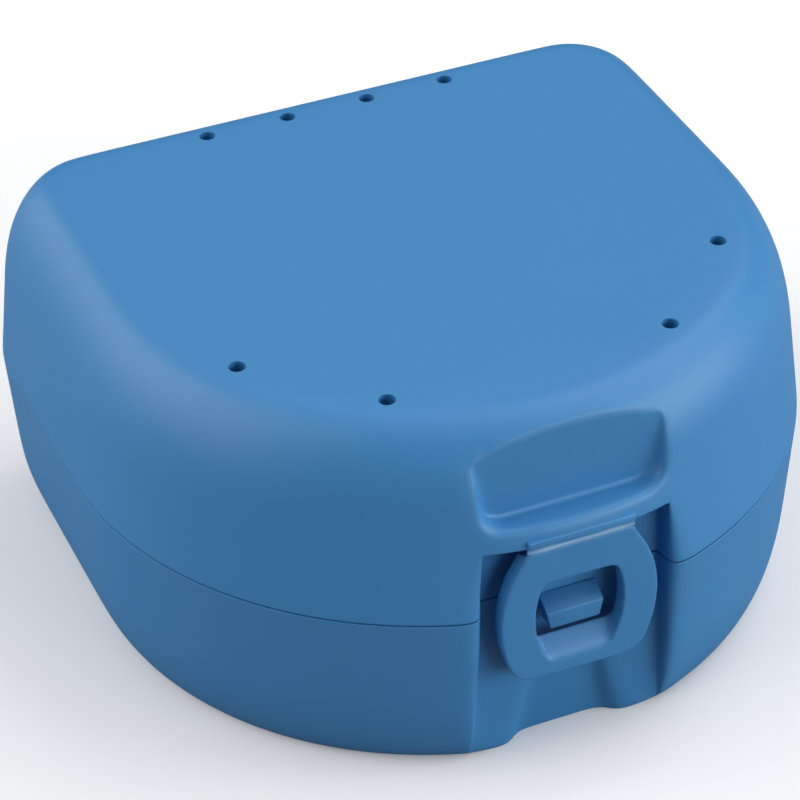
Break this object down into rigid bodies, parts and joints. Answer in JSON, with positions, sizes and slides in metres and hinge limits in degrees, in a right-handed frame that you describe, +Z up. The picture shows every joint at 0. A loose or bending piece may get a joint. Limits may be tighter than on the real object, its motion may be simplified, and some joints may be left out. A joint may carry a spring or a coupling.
{
  "type": "dental appliance box",
  "caption": "D-shaped hinged plastic case for a dental appliance, with a domed-edge lid, vent holes, a thumb scoop and a front ring latch that snaps under a hook.",
  "frame": {"origin": "centre of the overall box in plan, on the plane the underside rests on", "axes": "+Z up, -Y towards the round front with the latch, +Y towards the flat hinged back, +X to the right seen from the front"},
  "size_m": [0.085, 0.0794, 0.0438],
  "materials": {
    "case_plastic": "satin, very fine grain",
    "film_plastic": "satin, paler where the film is stressed"
  },
  "bodies": {
    "base": {"base_shell": "case_plastic", "locating_rim": "case_plastic", "catch_hook": "case_plastic", "rear_film_left": "film_plastic", "rear_film_right": "film_plastic"},
    "lid": {"lid_shell": "case_plastic", "hinge_tab": "case_plastic", "latch_film": "film_plastic"},
    "latch": {"latch_ring": "case_plastic"}
  },
  "joints": [
    {"name": "lid_hinge", "type": "hinge", "parent": "base", "child": "lid", "pos_m": [0, 0.03875, 0.0215], "axis": [-1, 0, 0], "range_deg": [0, 175], "deforming": ["rear_film_left", "rear_film_right"]},
    {"name": "latch_hinge", "type": "hinge", "parent": "lid", "child": "latch", "pos_m": [0, -0.0392, 0.0293], "axis": [-1, 0, 0], "range_deg": [0, 115], "deforming": ["latch_film"]}
  ]
}
